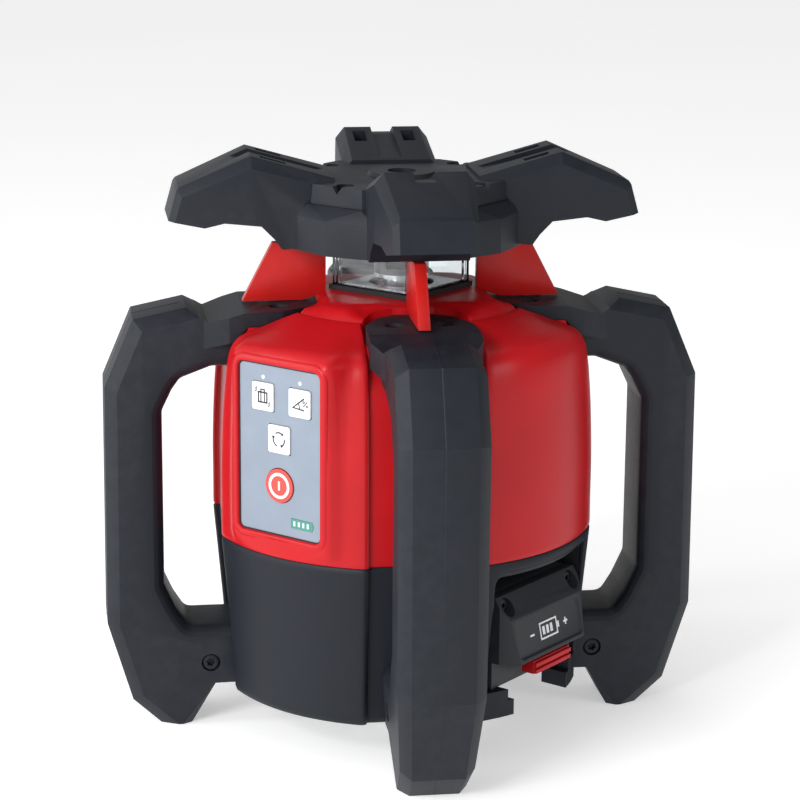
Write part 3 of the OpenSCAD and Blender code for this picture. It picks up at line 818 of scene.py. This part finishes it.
def mark(name, lines, slot, body, turn, centre, depth, thick=0.12):
    """Thin raised marks on a face, depth out from the axis. Each line is (points, closed, width)."""
    bm = bmesh.new()
    for points, closed, width in lines:
        left, right = strip(points, width, closed)
        layers = []
        for d in (depth - 0.05, depth + thick):
            layers.append([
                [bm.verts.new(Vector(facing(turn, d, centre[0] + p.x, centre[1] + p.y)) * MM) for p in edge]
                for edge in (left, right)
            ])
        (low_l, low_r), (top_l, top_r) = layers
        spans = range(len(points)) if closed else range(len(points) - 1)
        for i in spans:
            j = (i + 1) % len(points)
            bm.faces.new((top_l[i], top_l[j], top_r[j], top_r[i]))
            bm.faces.new((low_l[i], low_r[i], low_r[j], low_l[j]))
            bm.faces.new((low_l[i], low_l[j], top_l[j], top_l[i]))
            bm.faces.new((low_r[i], top_r[i], top_r[j], low_r[j]))
        if not closed:
            for k in (0, -1):
                bm.faces.new((low_l[k], top_l[k], top_r[k], low_r[k]))
    bmesh.ops.recalc_face_normals(bm, faces=bm.faces)
    return add_piece(name, bm, slot, body)


def make_marks():
    shock = [
        ([(-2.2, -2.4), (2.2, -2.4), (2.2, 1.7), (-2.2, 1.7)], True, 0.6),
        ([(-0.9, 1.9), (-0.9, 2.9), (0.9, 2.9), (0.9, 1.9)], False, 0.5),
        ([(-0.9, -2.2), (-0.9, 1.5)], False, 0.45),
        ([(0.9, -2.2), (0.9, 1.5)], False, 0.45),
        ([(-3.9, 1.6), (-3.2, 2.4), (-3.6, 2.9), (-2.9, 3.7)], False, 0.35),
        ([(2.9, -3.9), (3.5, -3.2), (3.1, -2.7), (3.8, -1.9)], False, 0.35),
    ]
    slope = [
        ([(2.4, -2.4), (-3.3, -1.9), (2.4, 2.4)], False, 0.6),
        (arc(3.4, -4, 36, 8, (-3.3, -1.9)), False, 0.35),
        ([(2.0, -0.9), (4.0, 1.3)], False, 0.32),
        (arc(0.42, 0, 315, 7, (2.2, 0.9)), True, 0.26),
        (arc(0.42, 0, 315, 7, (3.9, -0.6)), True, 0.26),
    ]
    rotate = [
        (arc(2.9, 55, 125), False, 0.5),
        (arc(2.9, 165, 250), False, 0.5),
        (arc(2.9, 290, 370), False, 0.5),
        ([(-2.9, 0.5), (-2.75, 1.2)], False, 1.1),
        ([(1.0, -2.7), (1.6, -2.3)], False, 1.1),
        ([(1.6, 2.5), (2.1, 2.1)], False, 1.1),
    ]
    for name, lines, centre in (
        ("shock", shock, (-8.3, 152.6)), ("slope", slope, (10.6, 152.4)), ("rotate", rotate, (0, 136)),
    ):
        node = "key_" + name
        depth = front_of(node, KEYPAD_TURN)
        mark(node + "_mark", lines, "black_plastic", body_of(node), KEYPAD_TURN, centre, depth)
    depth = front_of("key_power", KEYPAD_TURN)
    power = [(arc(4.75, 0, 350, 35), True, 1.25), ([(0, -1.9), (0, 1.9)], False, 0.95)]
    mark("key_power_mark", power, "key_white", body_of("key_power"), KEYPAD_TURN, (0, 116.8), depth)
    # Painted shade: this thin black strip round the panel's edge stands in for the shadow that falls in the
    # gap between the panel and the red rim.
    gap_shade_line = [(rounded_rect(KEYPAD_HALF_W - 0.1, KEYPAD_HALF_H - 0.1, 2.4), True, 0.7)]
    depth = front_of("keypad_panel", KEYPAD_TURN)
    mark("keypad_gap_shade", gap_shade_line, "black_plastic", "housing", KEYPAD_TURN, (0, KEYPAD_MID_Z), depth, 0.04)
    gauge = (11.2, 102.2)
    depth = front_of("gauge_window", KEYPAD_TURN)
    bars = [([(x, -1.0), (x, 1.0)], False, 1.0) for x in (-3.7, -1.4, 0.9, 3.2)]
    mark("gauge_bars", bars, "led_lens", "housing", KEYPAD_TURN, gauge, depth, 0.06)
    tip = [([(5.7, -0.9), (5.7, 0.9)], False, 0.7)]
    mark("gauge_tip", tip, "gauge_green", "housing", KEYPAD_TURN, gauge, depth, 0.1)


# ---------------------------------------------------------------- screws

TOP_SCREW_X = 53
TOP_SCREW_Y = 10.4
TOP_SCREW_Z = 178
CAP_SCREW_R = 38
CAP_SCREW_Z = 216
SIDE_SCREW_X = 82.5
SIDE_SCREW_Y = 13
SIDE_SCREW_Z = 28
BATTERY_SCREW = (69, 23.5, 65.5)


def screw(bm, place, axis, head_r, head_h, shank_r, shank_h, overlap=0.2):
    """A domed head with a six-lobed recess, its base at place, and a shank that starts inside it."""
    steps = 36
    dome = ((1, 0), (1, 0.55), (0.94, 0.8), (0.8, 0.95), (0.62, 1.0))
    profile = [(head_r * r, head_h * h) for r, h in dome]
    star = [head_r * (0.4 + 0.07 * math.cos(6 * 2 * math.pi * i / steps)) for i in range(steps)]
    profile += [
        ([r + 0.06 * head_r for r in star], head_h),
        (star, head_h * 0.93),
        ([r * 0.94 for r in star], head_h * 0.25),
    ]
    bridge(bm, spun(place, axis, profile, steps))
    axis = Vector(axis)
    shank = [(shank_r, 0), (shank_r, shank_h - 0.5), (shank_r * 0.6, shank_h)]
    bridge(bm, spun(Vector(place) + axis * overlap, -axis, shank, 16))


def add_screws(node, bm, slot):
    bmesh.ops.recalc_face_normals(bm, faces=bm.faces)
    shade(add_piece(node + "_detailed", bm, slot, body_of(node), node), 35)


def make_screws():
    quarter_turns = [math.radians(turn) for turn in QUARTERS]
    bm = bmesh.new()
    for turn in quarter_turns:
        for side in (-1, 1):
            place = facing(turn, TOP_SCREW_X, side * TOP_SCREW_Y, TOP_SCREW_Z)
            screw(bm, place, UP, 3.3, 2, 1.4, 11)
    add_screws("handle_top_screws", bm, "dark_screw")
    bm = bmesh.new()
    for turn in quarter_turns:
        screw(bm, facing(turn + math.pi / 4, CAP_SCREW_R, 0, CAP_SCREW_Z), UP, 3.3, 2.4, 1.4, 9.2)
    add_screws("cap_screws", bm, "dark_screw")
    bm = bmesh.new()
    d, s, z = BATTERY_SCREW
    for side in (-1, 1):
        screw(bm, facing(BATTERY_TURN, d, side * s, z), facing(BATTERY_TURN, 1, 0, 0), 3.2, 2, 1.4, 9)
    add_screws("battery_screws", bm, "dark_screw")
    bm = bmesh.new()
    for turn in quarter_turns:
        for side in (-1, 1):
            place = facing(turn, SIDE_SCREW_X, side * SIDE_SCREW_Y, SIDE_SCREW_Z)
            screw(bm, place, facing(turn, 0, side, 0), 3.8, 2.7, 2, 10)
    add_screws("handle_side_screws", bm, "charcoal_grip")


# ---------------------------------------------------------------- handles

CRISP = 11
HANDLE_HALF = 18
HANDLE_BACK = [(91.1, 181.6), (112.9, 177), (125, 148.4), (125.65, 46), (115.4, 11.1), (103.5, 0)]
FOOT = [(80.6, 18.6), (90.5, 0), (103.5, 0)]
LOOP_IN_X = 62
ROOT_LOW_X = 71.5
ROOT_HIGH_X = 72


def rim_edges(bm, chain, half):
    """The side edges of a prism that run along a chain of its outline's points."""
    places = [Vector((x, z)) for x, z in chain]

    def on_chain(v):
        here = Vector((v.co.x, v.co.z)) / MM
        return any((here - p).length < 0.01 for p in places)

    return [e for e in bm.edges if all(
        abs(abs(v.co.y / MM) - half) < 0.01 and on_chain(v) for v in e.verts
    ) and abs(e.verts[0].co.y - e.verts[1].co.y) < 0.001 * MM]


def bevel_rim(bm, chain, width, segments):
    """Bevels a prism's two side edges along a chain of its outline's points."""
    bmesh.ops.bevel(
        bm, geom=rim_edges(bm, chain, HANDLE_HALF), offset=width * MM, segments=segments,
        profile=0.5, affect="EDGES", clamp_overlap=False,
    )


def grip_loop():
    """The five-sided grip loop with its foot, drawn past the handle's roots."""
    opening = [
        (LOOP_IN_X, 156.6), *round_corners([
            (78, 156.6), (81, 156.6), (93.9, 151.7), (97.2, 147), (101.5, 138), (101.5, 63), (96.7, 52.4),
            (91.6, 44.5), (80, 44.5),
        ], 5), (LOOP_IN_X, 44.5),
    ]
    foot_root = (LOOP_IN_X, 18.8)
    top_root = [(82.5, 176.2), (LOOP_IN_X, 172)]
    bm = prism([*opening, foot_root, *FOOT[:2], *reversed(HANDLE_BACK), *top_root], HANDLE_HALF)
    bevel_rim(bm, HANDLE_BACK, 5, 1)
    bevel_rim(bm, opening, 6.5, 5)
    bevel_rim(bm, FOOT, 3.5, 1)
    for v in bm.verts:
        z = v.co.z / MM
        if z < 52:
            v.co.y *= between([(0, 14 / 18), (52, 1)], z)
    return bm


def bracket():
    """The plate on top of the shell that the handle's two top screws hold down."""
    half = [(36, 8), (41, 15.6), (52, 21.6), (60, 22.5), (74, 22.5), (84, 18), (86, 18)]
    solid = work_solid(slab(half + [(x, -y) for x, y in reversed(half)], 150, 200))
    side_view = [
        (36, 174.9), (66, 174.9), (ROOT_HIGH_X, 168.5), (84, 165), (86, 165), (86, 178.4), (82.5, 176.2),
        (67.4, 180.5), (36, 181.4),
    ]
    combine(solid, prism(side_view, 40), "INTERSECT")
    bm = bmesh.new()
    bm.from_mesh(solid.data)
    bpy.data.objects.remove(solid)
    return bm


def handle_mesh():
    """The handle on +X: a grip loop, its foot and its top bracket, as one moulding."""
    solid = work_solid(grip_loop())
    behind_roots = [
        (50, 10), (ROOT_LOW_X, 10), (ROOT_LOW_X, 60), (ROOT_HIGH_X, 120), (ROOT_HIGH_X, 185), (50, 185),
    ]
    cut_piece(solid, prism(behind_roots, 30))
    join_piece(solid, bracket())
    top_bore = [(1.8, 160), (1.8, 178), (3.6, 178), (3.6, 180.4), (4.3, 181.2), (4.3, 186)]
    side_bore = [(2.1, 2), (2.1, 13), (3.95, 13), (3.95, 15.6), (4.2, 24)]
    for side in (-1, 1):
        cut_piece(solid, lathe((TOP_SCREW_X, side * TOP_SCREW_Y, 0), UP, top_bore))
        cut_piece(solid, lathe((SIDE_SCREW_X, 0, SIDE_SCREW_Z), (0, side, 0), side_bore))
    soft_edges(solid, 0.6, CRISP)
    mesh = solid.data
    bpy.data.objects.remove(solid)
    return mesh


def seam_mesh():
    """The faint seam left by the mould down the middle of the grip."""
    path = [(93, 181.25), *HANDLE_BACK[1:-1], (104.5, 0.9)]
    rows = []
    for i, here in enumerate(path):
        a, b = Vector(path[max(0, i - 1)]), Vector(path[min(len(path) - 1, i + 1)])
        way = (b - a).normalized()
        out = Vector((-way.y, way.x))
        low, high = Vector(here) - out * 0.6, Vector(here) + out * 0.13
        shoulder = high - out * 0.1
        half = [(low, -0.5), (shoulder, -0.45), (high, -0.15)]
        rows.append([(p.x, y, p.y) for p, y in half + [(p, -y) for p, y in reversed(half)]])
    return mesh_from("seam", loft(rows))


def make_handles():
    master, seam = handle_mesh(), seam_mesh()
    for side, turn in (("right", 0), ("back", 90), ("left", 180), ("front", -90)):
        node = "handle_" + side
        spin = Matrix.Rotation(math.radians(turn), 4, "Z")
        for mesh, name, stands_for in ((master, "_moulded", node), (seam, "_seam", None)):
            copy = mesh.copy()
            copy.transform(spin)
            shade(add_piece(node + name, copy, slot_of[node], body_of(node), stands_for), CRISP + 6)


# ---------------------------------------------------------------- cap and cage

SKIRT_R = 50.6


def skirt_plan(radius, z):
    """The skirt's outline: three corners between each pair of wings."""
    return [
        (radius * math.cos(math.radians(90 * q + a)), radius * math.sin(math.radians(90 * q + a)), z)
        for q in range(4) for a in (20.8, 45, 69.2)
    ]


def hub_plan(reach, side, z):
    """The hub's outline: a wall square to each diagonal, between the wings."""
    points = []
    for q in range(4):
        turn = math.radians(90 * q + 45)
        out, across = Vector((math.cos(turn), math.sin(turn))), Vector((-math.sin(turn), math.cos(turn)))
        points += [(*(out * reach + across * side * s), z) for s in (-1, 1)]
    return points


def wing():
    """The wing on +X, from (x, half width, z) corners along its ridge, its shoulder and its underside."""
    ridge = [(30, 17, 234.8), (64.2, 16.4, 244.3), (93.4, 14, 231.5)]
    shoulder = [(30, 20.4, 230.8), (64.2, 20.2, 239.6), (92.2, 16.8, 227.8)]
    under = [(30, 20.4, 209), (51, 20.4, 206.2), (64.2, 19.6, 212), (95.2, 16.8, 217.4)]
    tip = [(97.8, 14.4, 217.8), (94.4, 14.4, 230)]
    return hull([(x, side * y, z) for x, y, z in ridge + shoulder + under + tip for side in (-1, 1)])


def make_cap():
    under = [(51, 205), (55, 210.5), (60.3, 215.8), (75.1, 217.1), (83.2, 215.1), (99, 218.1), (99, 205)]
    channel = [(24, 236.2), (34.9, 235.4), (64.2, 241.2), (80, 241.2), (80, 250), (20, 250), (20, 236.2)]
    pocket = [(62, 205), (62, 236.8), (64.2, 238.8), (89.2, 227.8), (92, 205)]
    screw_bore = [(1.8, 204), (1.8, 216), (3.7, 216), (3.7, 240)]
    cap = work_solid(hull(skirt_plan(SKIRT_R, 206) + skirt_plan(SKIRT_R, 220.2)))
    join_piece(cap, hull(skirt_plan(SKIRT_R, 220.2) + hub_plan(45.2, 13.5, 225.4) + skirt_plan(40, 225.4)))
    join_piece(cap, hull(hub_plan(44, 13.2, 224) + hub_plan(43.4, 12.6, 233.4)))
    for turn in QUARTERS:
        join_piece(cap, turned(wing(), turn))
    join_piece(cap, lathe(CENTRE, UP, [(15, 232), (13.6, 235)]))
    for turn in QUARTERS:
        cut_piece(cap, turned(prism(under, 40), turn))
        cut_piece(cap, turned(prism(channel, 4.8), turn))
        cut_piece(cap, turned(prism(pocket, 12), turn))
        for side in (-1, 1):
            slot = block((49.5, 60), (side * 10.6 - 2.7, side * 10.6 + 2.7), (237.5, 250))
            cut_piece(cap, turned(slot, turn))
        notch = hull([(x, y, z) for x in (38, 50) for y, z in ((0, 230.4), (-4.4, 235.8), (4.4, 235.8))])
        cut_piece(cap, turned(notch, turn + 45))
        cut_piece(cap, turned(lathe((CAP_SCREW_R, 0, 0), UP, screw_bore), turn + 45))
    cut_piece(cap, lathe(CENTRE, UP, [(46.2, 204), (46.2, 210.2)], 64))
    cut_piece(cap, turned(block((-22.5, 22.5), (-22.5, 22.5), (204, 217)), 45))
    cut_piece(cap, lathe(CENTRE, UP, [(6, 204), (6, 240)]))
    finish_solid(cap, "head_cap", 0.7, CRISP)


def make_cage():
    fin = [
        (66.9, 181.45), (54.2, 205.8), (46, 205.8), (46, 209.5), (32, 209.5), (32, 184.8), (36, 183.4),
        (42, 181.45),
    ]
    cage = work_solid(lathe(CENTRE, UP, [(46, 207), (46, 210)], 64))
    for turn in QUARTERS:
        join_piece(cage, turned(prism(fin, 2.4), turn))
    cut_piece(cage, lathe(CENTRE, UP, [(33, 204), (33, 215)], 64))
    for turn in QUARTERS:
        bore = lathe((CAP_SCREW_R, 0, 0), UP, [(1.4, 204), (1.4, 215)])
        cut_piece(cage, turned(bore, turn + 45))
    finish_solid(cage, "head_cage", 0.8, 28)


# ---------------------------------------------------------------- battery

LABEL_D = 78.6
LABEL_Z = 51.2
LABEL_SLOPE = 4 / 18.5


def make_battery_case():
    case = piece_from_cad("battery_case")
    soft_edges(case, 0.6, 28)
    shade(case, 32)


def make_latch():
    latch = work_solid(block((72.6, 78.4), (-11.5, 15), (34.3, 39.8)))
    for low, high in ((34.5, 36.2), (37.3, 39.1)):
        join_piece(latch, block((73, 79.7), (-11.2, 14.7), (low, high)))
    latch.data.transform(Matrix.Rotation(BATTERY_TURN, 4, "Z"))
    finish_solid(latch, "battery_latch", 0.4, 28)


def make_bay():
    """The liner of the battery compartment, its rim set back behind the opening's eased edge."""
    piece = piece_from_cad("battery_bay", join_flats=False)
    inside_wall = [(73.8, 20), (74, 24), (75.5, 54), (77.9, 67), (78.7, 86)]
    combine(piece, lathe(CENTRE, UP, inside_wall, 96), "INTERSECT")
    shade(piece, 30)


def make_battery_cover():
    """The pack's end, with a sunk label that leans back."""
    piece = piece_from_cad("battery_cover")
    lean = Vector((1, LABEL_SLOPE)).normalized()
    rings = []
    for grow, sink in ((0, -0.8), (0.3, -0.55), (0.7, 0.02), (1, 2)):
        ring = []
        for s, t in rounded_rect(22.5 + grow, 7.2 + grow, 1.6 + grow):
            d = LABEL_D - lean.y * t + lean.x * sink
            z = LABEL_Z + lean.x * t + lean.y * sink
            ring.append(facing(BATTERY_TURN, d, s, z))
        rings.append(ring)
    cut_piece(piece, loft(rings))
    soft_edges(piece, 0.5, 20)
    shade(piece, 24)


def make_label_mark():
    """A plain battery sign with its poles, printed on the sloping label."""
    lines = [([(x, -1.7), (x, 1.7)], False, 1.7) for x in (-3.6, -0.8, 2)]
    lines += [
        ([(-6, -3.2), (6, -3.2), (6, 3.2), (-6, 3.2)], True, 0.7),
        ([(7.1, -1.3), (7.1, 1.3)], False, 1.2),
        ([(-13.5, 0), (-10.5, 0)], False, 0.8),
        ([(11, 0), (14, 0)], False, 0.8),
        ([(12.5, -1.5), (12.5, -0.4)], False, 0.8),
        ([(12.5, 0.4), (12.5, 1.5)], False, 0.8),
    ]
    body = body_of("battery_cover")
    piece = mark("battery_label_mark", lines, "key_white", body, BATTERY_TURN, (0, LABEL_Z), 77.85, 0.1)
    out = Vector(facing(BATTERY_TURN, 1, 0, 0))
    for v in piece.data.vertices:
        v.co += out * (LABEL_Z * MM - v.co.z) * LABEL_SLOPE


# ---------------------------------------------------------------- studio


def area_light(name, place, size, power):
    """A soft lamp aimed at the middle of the object."""
    data = bpy.data.lights.new(name, "AREA")
    data.shape = "RECTANGLE"
    data.size, data.size_y = size
    data.energy = power
    light = bpy.data.objects.new(name, data)
    light.location = place
    light.rotation_mode = "QUATERNION"
    light.rotation_quaternion = (Vector((0, 0, 0.14)) - Vector(place)).to_track_quat("-Z", "Y")
    bpy.context.scene.collection.objects.link(light)


def make_world():
    """White surroundings, brighter to the left and below."""
    world = bpy.data.worlds.new("studio")
    world.use_nodes = True
    tree = world.node_tree
    background = tree.nodes["Background"]
    background.inputs["Color"].default_value = (1, 1, 1, 1)
    way = tree.nodes.new("ShaderNodeTexCoord").outputs["Generated"]
    dot = tree.nodes.new("ShaderNodeVectorMath")
    dot.operation = "DOT_PRODUCT"
    dot.inputs[1].default_value = (-0.85, -0.1, -0.5)
    tree.links.new(way, dot.inputs[0])
    strength = map_range(tree, dot.outputs["Value"], (-0.7, 0.3, 0.2, 0.95))
    tree.links.new(strength, background.inputs["Strength"])
    bpy.context.scene.world = world


def make_floor():
    bm = bmesh.new()
    bmesh.ops.create_grid(bm, x_segments=2, y_segments=2, size=30)
    floor = new_object("floor", mesh_from("floor", bm))
    m = Nodes("floor")
    m.colour(m.mix(m.noise(3, 2), (0.86, 0.86, 0.86), (0.9, 0.9, 0.9)))
    m.set("Roughness", 0.9)
    m.set("Emission Color", (1, 1, 1, 1))
    m.set("Emission Strength", 0.42)
    floor.data.materials.append(m.material)


# ---------------------------------------------------------------- the scene

make_upper_shell()
make_keypad_rim()
make_marks()
make_screws()
make_handles()
make_base_shell()
make_cap()
make_cage()
make_battery_case()
make_latch()
make_bay()
make_battery_cover()
make_label_mark()

make_world()
area_light("key", (-1.05, -1.1, 0.85), (0.6, 0.6), 17)
area_light("left", (-1.5, -0.1, 0.5), (0.3, 1.2), 7)
area_light("right", (1.3, -1.1, 0.8), (0.5, 0.9), 6)
area_light("top", (0.1, 0.2, 1.7), (1.0, 1.0), 2)
make_floor()
bpy.context.scene.view_settings.view_transform = "Standard"
